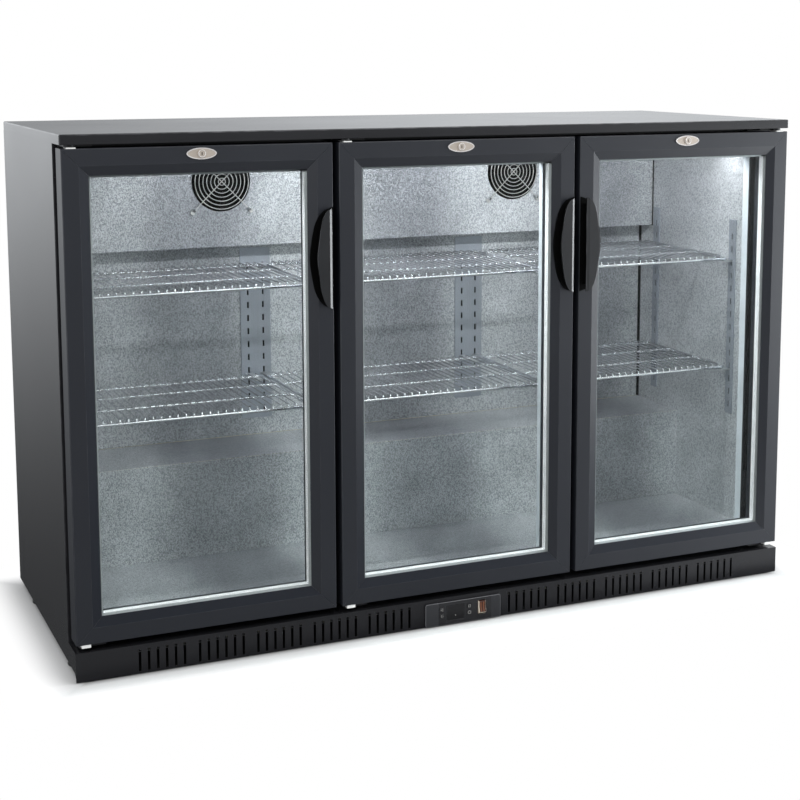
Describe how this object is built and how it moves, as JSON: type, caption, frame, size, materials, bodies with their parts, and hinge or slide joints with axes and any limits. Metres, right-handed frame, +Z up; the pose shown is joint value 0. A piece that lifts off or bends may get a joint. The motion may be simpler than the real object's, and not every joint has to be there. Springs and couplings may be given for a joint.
{
  "type": "under counter fridge",
  "caption": "Black under-counter display fridge with hinged double-glazed doors, pull handles, locks, wire shelves, fan-cooled aluminium cabin, slotted plinth and control panel.",
  "frame": {"origin": "on the floor under the middle of the whole object", "axes": "+X to the right seen from the front, +Y from the doors to the back, +Z up"},
  "size_m": [1.35, 0.536, 0.875],
  "materials": {
    "black_steel": "satin",
    "galvanised": "satin",
    "throat_grey": "satin",
    "foam": "matte",
    "stucco_aluminium": "satin",
    "fan_plastic": "matte",
    "chrome_wire": "gloss",
    "lamp": "gloss",
    "bezel": "satin",
    "display": "gloss",
    "zinc": "satin",
    "compressor_black": "gloss",
    "feet_rubber": "matte",
    "door_black": "satin",
    "glass": "gloss",
    "spacer": "satin",
    "gasket": "matte",
    "handle": "satin",
    "lock_metal": "satin",
    "nylon": "satin",
    "rocker": "gloss",
    "key": "satin"
  },
  "bodies": {
    "cabinet": {"worktop": "black_steel", "side_panel_left": "black_steel", "side_panel_right": "black_steel", "back_panel": "black_steel", "rear_grille": "black_steel", "base_pan": "galvanised", "front_frame": "black_steel", "throat_trim": "throat_grey", "insulation": "foam", "inner_liner": "stucco_aluminium", "machine_housing": "stucco_aluminium", "evaporator_cover": "stucco_aluminium", "evaporator_coil": "spacer", "fan_frames": "fan_plastic", "fan_guards": "chrome_wire", "shelf_standards": "galvanised", "shelf_clips": "zinc", "wire_shelves": "chrome_wire", "led_lamp": "lamp", "plinth": "black_steel", "control_bezel": "bezel", "display_window": "display", "hinge_brackets": "zinc", "screws": "zinc", "compressor": "compressor_black", "condenser": "spacer", "cord_gland": "fan_plastic", "levelling_feet": "feet_rubber"},
    "door_left": {"door_left_frame": "door_black", "door_left_glass": "glass", "door_left_spacer": "spacer", "door_left_gasket": "gasket", "door_left_handle": "handle", "door_left_escutcheon": "lock_metal", "door_left_bushes": "nylon"},
    "door_middle": {"door_middle_frame": "door_black", "door_middle_glass": "glass", "door_middle_spacer": "spacer", "door_middle_gasket": "gasket", "door_middle_handle": "handle", "door_middle_escutcheon": "lock_metal", "door_middle_bushes": "nylon"},
    "door_right": {"door_right_frame": "door_black", "door_right_glass": "glass", "door_right_spacer": "spacer", "door_right_gasket": "gasket", "door_right_handle": "handle", "door_right_escutcheon": "lock_metal", "door_right_bushes": "nylon"},
    "lock_barrel_left": {"lock_left": "lock_metal"},
    "lock_barrel_middle": {"lock_middle": "lock_metal"},
    "lock_barrel_right": {"lock_right": "lock_metal"},
    "left_fan": {"fan_rotor_left": "fan_plastic"},
    "right_fan": {"fan_rotor_right": "fan_plastic"},
    "condenser_fan": {"condenser_rotor": "fan_plastic"},
    "power_rocker": {"rocker_switch": "rocker"},
    "button_up": {"key_up": "key"},
    "button_down": {"key_down": "key"},
    "button_lamp": {"key_lamp": "key"},
    "button_defrost": {"key_defrost": "key"}
  },
  "joints": [
    {"name": "door_left_hinge", "type": "hinge", "parent": "cabinet", "child": "door_left", "pos_m": [-0.657, -0.236, 0.4575], "axis": [0, 0, -1], "range_deg": [0, 90]},
    {"name": "door_middle_hinge", "type": "hinge", "parent": "cabinet", "child": "door_middle", "pos_m": [-0.20467, -0.236, 0.4575], "axis": [0, 0, -1], "range_deg": [0, 90]},
    {"name": "door_right_hinge", "type": "hinge", "parent": "cabinet", "child": "door_right", "pos_m": [0.657, -0.236, 0.4575], "axis": [0, 0, 1], "range_deg": [0, 90]},
    {"name": "lock_left_turn", "type": "hinge", "parent": "door_left", "child": "lock_barrel_left", "pos_m": [-0.45233, -0.252, 0.8408], "axis": [0, -1, 0], "range_deg": [0, 90]},
    {"name": "lock_middle_turn", "type": "hinge", "parent": "door_middle", "child": "lock_barrel_middle", "pos_m": [0, -0.252, 0.8408], "axis": [0, -1, 0], "range_deg": [0, 90]},
    {"name": "lock_right_turn", "type": "hinge", "parent": "door_right", "child": "lock_barrel_right", "pos_m": [0.45233, -0.252, 0.8408], "axis": [0, -1, 0], "range_deg": [0, 90]},
    {"name": "left_fan_spin", "type": "hinge", "parent": "cabinet", "child": "left_fan", "pos_m": [-0.303, 0.158, 0.762], "axis": [0, 1, 0], "continuous": true},
    {"name": "right_fan_spin", "type": "hinge", "parent": "cabinet", "child": "right_fan", "pos_m": [0.303, 0.158, 0.762], "axis": [0, 1, 0], "continuous": true},
    {"name": "condenser_fan_spin", "type": "hinge", "parent": "cabinet", "child": "condenser_fan", "pos_m": [-0.06, 0.1828, 0.0962], "axis": [0, 1, 0], "continuous": true},
    {"name": "rocker_tilt", "type": "hinge", "parent": "cabinet", "child": "power_rocker", "pos_m": [0.041, -0.25, 0.0245], "axis": [1, 0, 0], "range_deg": [0, 16]},
    {"name": "key_up_press", "type": "slide", "parent": "cabinet", "child": "button_up", "axis": [0, 1, 0], "range_m": [0, 0.001], "stiffness_N_per_m": 300},
    {"name": "key_down_press", "type": "slide", "parent": "cabinet", "child": "button_down", "axis": [0, 1, 0], "range_m": [0, 0.001], "stiffness_N_per_m": 300},
    {"name": "key_lamp_press", "type": "slide", "parent": "cabinet", "child": "button_lamp", "axis": [0, 1, 0], "range_m": [0, 0.001], "stiffness_N_per_m": 300},
    {"name": "key_defrost_press", "type": "slide", "parent": "cabinet", "child": "button_defrost", "axis": [0, 1, 0], "range_m": [0, 0.001], "stiffness_N_per_m": 300}
  ]
}
